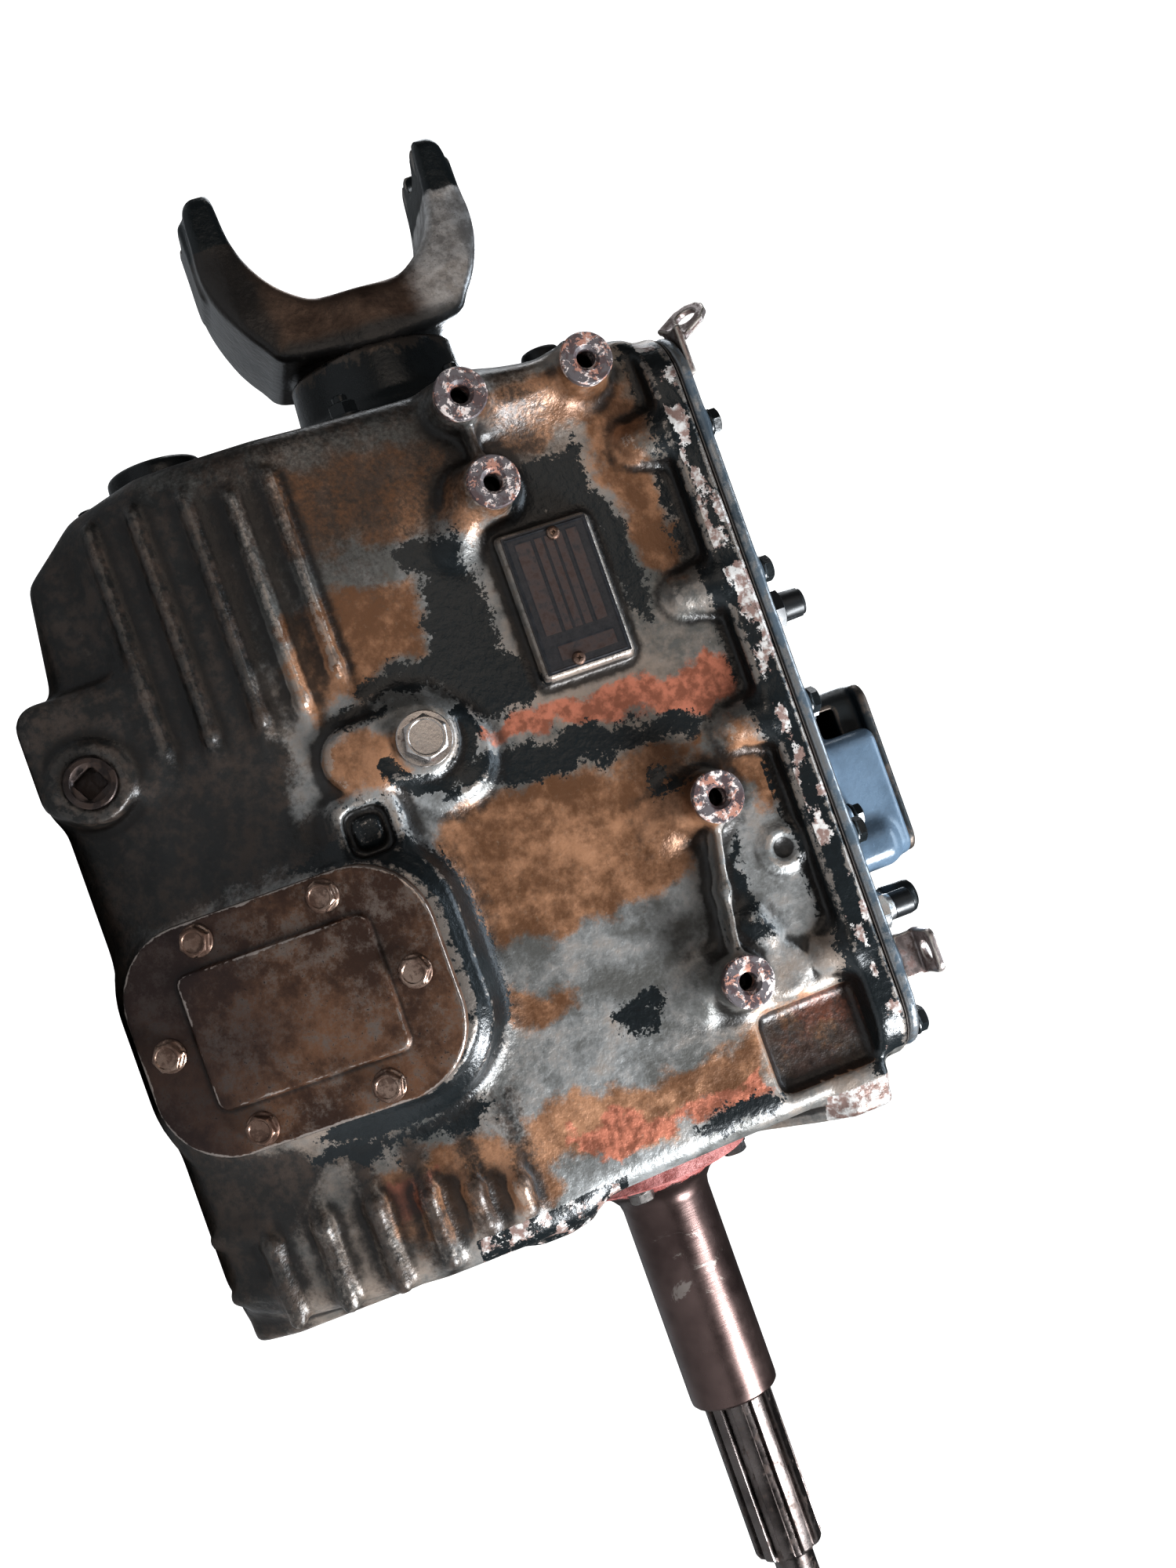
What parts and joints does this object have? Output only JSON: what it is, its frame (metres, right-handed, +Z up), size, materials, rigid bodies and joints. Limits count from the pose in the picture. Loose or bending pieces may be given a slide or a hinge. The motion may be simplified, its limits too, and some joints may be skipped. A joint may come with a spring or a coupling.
{
  "type": "manual transmission",
  "caption": "Cast-case manual truck gearbox: splined input shaft in a quill, half-round output yoke, top cover with shift housing, side power-take-off cover.",
  "frame": {"origin": "centre of the bounding box on X and Y, at the flat bottom of the case", "axes": "+X along the main shaft to the input end, +Z up through the top cover, -Y to the power-take-off side"},
  "size_m": [0.946, 0.3345, 0.498],
  "materials": {
    "cast": "grey paint worn off rusted cast iron, with black overspray",
    "rusted_cover": "brown rusted iron, edges rubbed bright",
    "cover": "blue-grey satin paint",
    "black": "black satin paint",
    "steel": "machined steel, browned",
    "quill": "dark brown satin steel tube with a red sealed flange",
    "gear_steel": "ground alloy steel, oiled",
    "zinc": "zinc plate",
    "gasket": "compressed fibre gasket",
    "rubber": "black nitrile rubber",
    "plate": "thin plate, painted and rubbed, blank",
    "yoke": "forged steel, dark tips and rubbed metal"
  },
  "bodies": {
    "case": {"main_case": "cast", "top_cover": "cover", "shift_housing": "cover", "pto_cover": "rusted_cover", "front_lifting_eye": "rusted_cover", "rear_lifting_eye": "rusted_cover", "rear_bearing_cover": "black", "countershaft_cover": "black", "reverse_switch": "black", "breather": "black", "speed_sensor": "black", "neutral_switch": "zinc", "top_cover_gasket": "gasket", "pto_gasket": "gasket", "front_seal": "rubber", "rear_seal": "rubber", "nameplate": "plate", "front_retainer": "quill", "fill_plug": "steel", "drain_plug": "steel", "pto_bolt_1": "steel", "pto_bolt_2": "steel", "pto_bolt_3": "steel", "pto_bolt_4": "steel", "pto_bolt_5": "steel", "pto_bolt_6": "steel", "input_bearing": "steel", "output_bearing": "steel", "counter_front_bearing": "steel", "counter_rear_bearing": "steel", "reverse_idler_shaft": "steel"},
    "input": {"input_shaft": "steel"},
    "output": {"output_shaft": "steel", "clutch_hub_45": "gear_steel", "clutch_hub_23": "gear_steel", "clutch_hub_1r": "gear_steel", "output_yoke": "yoke", "yoke_nut": "steel", "pilot_bearing": "steel"},
    "counter": {"countershaft": "gear_steel", "counter_drive_gear": "gear_steel", "counter_fourth_gear": "gear_steel", "counter_third_gear": "gear_steel"},
    "idler": {"reverse_idler_gear": "gear_steel"},
    "selector": {"selector_shaft": "steel", "shift_finger": "steel"},
    "fourth": {"fourth_gear": "gear_steel"},
    "third": {"third_gear": "gear_steel"},
    "second": {"second_gear": "gear_steel"},
    "first": {"first_gear": "gear_steel"},
    "reverse": {"reverse_gear": "gear_steel"},
    "rail_45": {"shift_rail_45": "steel", "shift_fork_45": "gear_steel"},
    "sleeve_45": {"shift_sleeve_45": "gear_steel"},
    "rail_23": {"shift_rail_23": "steel", "shift_fork_23": "gear_steel"},
    "sleeve_23": {"shift_sleeve_23": "gear_steel"},
    "rail_1r": {"shift_rail_1r": "steel", "shift_fork_1r": "gear_steel"},
    "sleeve_1r": {"shift_sleeve_1r": "gear_steel"}
  },
  "joints": [
    {"name": "countershaft_spin", "type": "hinge", "parent": "case", "child": "counter", "pos_m": [-0.03, 0.0133, 0.117], "axis": [1, 0, 0], "continuous": true},
    {"name": "input_spin", "type": "hinge", "parent": "case", "child": "input", "pos_m": [0.17, 0.0133, 0.267], "axis": [1, 0, 0], "continuous": true},
    {"name": "output_spin", "type": "hinge", "parent": "case", "child": "output", "pos_m": [-0.13, 0.0133, 0.267], "axis": [1, 0, 0], "continuous": true},
    {"name": "fourth_gear_spin", "type": "hinge", "parent": "case", "child": "fourth", "pos_m": [0.035, 0.0133, 0.267], "axis": [1, 0, 0], "continuous": true},
    {"name": "third_gear_spin", "type": "hinge", "parent": "case", "child": "third", "pos_m": [0.002, 0.0133, 0.267], "axis": [1, 0, 0], "continuous": true},
    {"name": "second_gear_spin", "type": "hinge", "parent": "case", "child": "second", "pos_m": [-0.079, 0.0133, 0.267], "axis": [1, 0, 0], "continuous": true},
    {"name": "first_gear_spin", "type": "hinge", "parent": "case", "child": "first", "pos_m": [-0.119, 0.0133, 0.267], "axis": [1, 0, 0], "continuous": true},
    {"name": "reverse_gear_spin", "type": "hinge", "parent": "case", "child": "reverse", "pos_m": [-0.204, 0.0133, 0.267], "axis": [1, 0, 0], "continuous": true},
    {"name": "idler_spin", "type": "hinge", "parent": "case", "child": "idler", "pos_m": [-0.204, 0.0975, 0.1489], "axis": [1, 0, 0], "continuous": true},
    {"name": "rail_45_slide", "type": "slide", "parent": "case", "child": "rail_45", "axis": [1, 0, 0], "range_m": [-0.01, 0.01]},
    {"name": "sleeve_45_slide", "type": "slide", "parent": "output", "child": "sleeve_45", "axis": [1, 0, 0], "range_m": [-0.01, 0.01]},
    {"name": "rail_23_slide", "type": "slide", "parent": "case", "child": "rail_23", "axis": [1, 0, 0], "range_m": [-0.01, 0.01]},
    {"name": "sleeve_23_slide", "type": "slide", "parent": "output", "child": "sleeve_23", "axis": [1, 0, 0], "range_m": [-0.01, 0.01]},
    {"name": "rail_1r_slide", "type": "slide", "parent": "case", "child": "rail_1r", "axis": [1, 0, 0], "range_m": [-0.01, 0.01]},
    {"name": "sleeve_1r_slide", "type": "slide", "parent": "output", "child": "sleeve_1r", "axis": [1, 0, 0], "range_m": [-0.01, 0.01]},
    {"name": "selector_turn", "type": "hinge", "parent": "case", "child": "selector", "pos_m": [-0.005, 0.0133, 0.454], "axis": [0, 1, 0], "range_deg": [-14.4, 14.4]}
  ],
  "couplings": [
    {"joint": "input_spin", "follows": "countershaft_spin", "ratio": -1.5},
    {"joint": "fourth_gear_spin", "follows": "countershaft_spin", "ratio": -1.2222},
    {"joint": "third_gear_spin", "follows": "countershaft_spin", "ratio": -0.875},
    {"joint": "second_gear_spin", "follows": "countershaft_spin", "ratio": -0.57895},
    {"joint": "first_gear_spin", "follows": "countershaft_spin", "ratio": -0.36364},
    {"joint": "reverse_gear_spin", "follows": "countershaft_spin", "ratio": 0.42105},
    {"joint": "idler_spin", "follows": "countershaft_spin", "ratio": -0.8},
    {"joint": "sleeve_45_slide", "follows": "rail_45_slide", "ratio": 1},
    {"joint": "sleeve_23_slide", "follows": "rail_23_slide", "ratio": 1},
    {"joint": "sleeve_1r_slide", "follows": "rail_1r_slide", "ratio": 1},
    {"joint": "selector_turn", "follows": "rail_23_slide", "rad_per_m": -25}
  ]
}
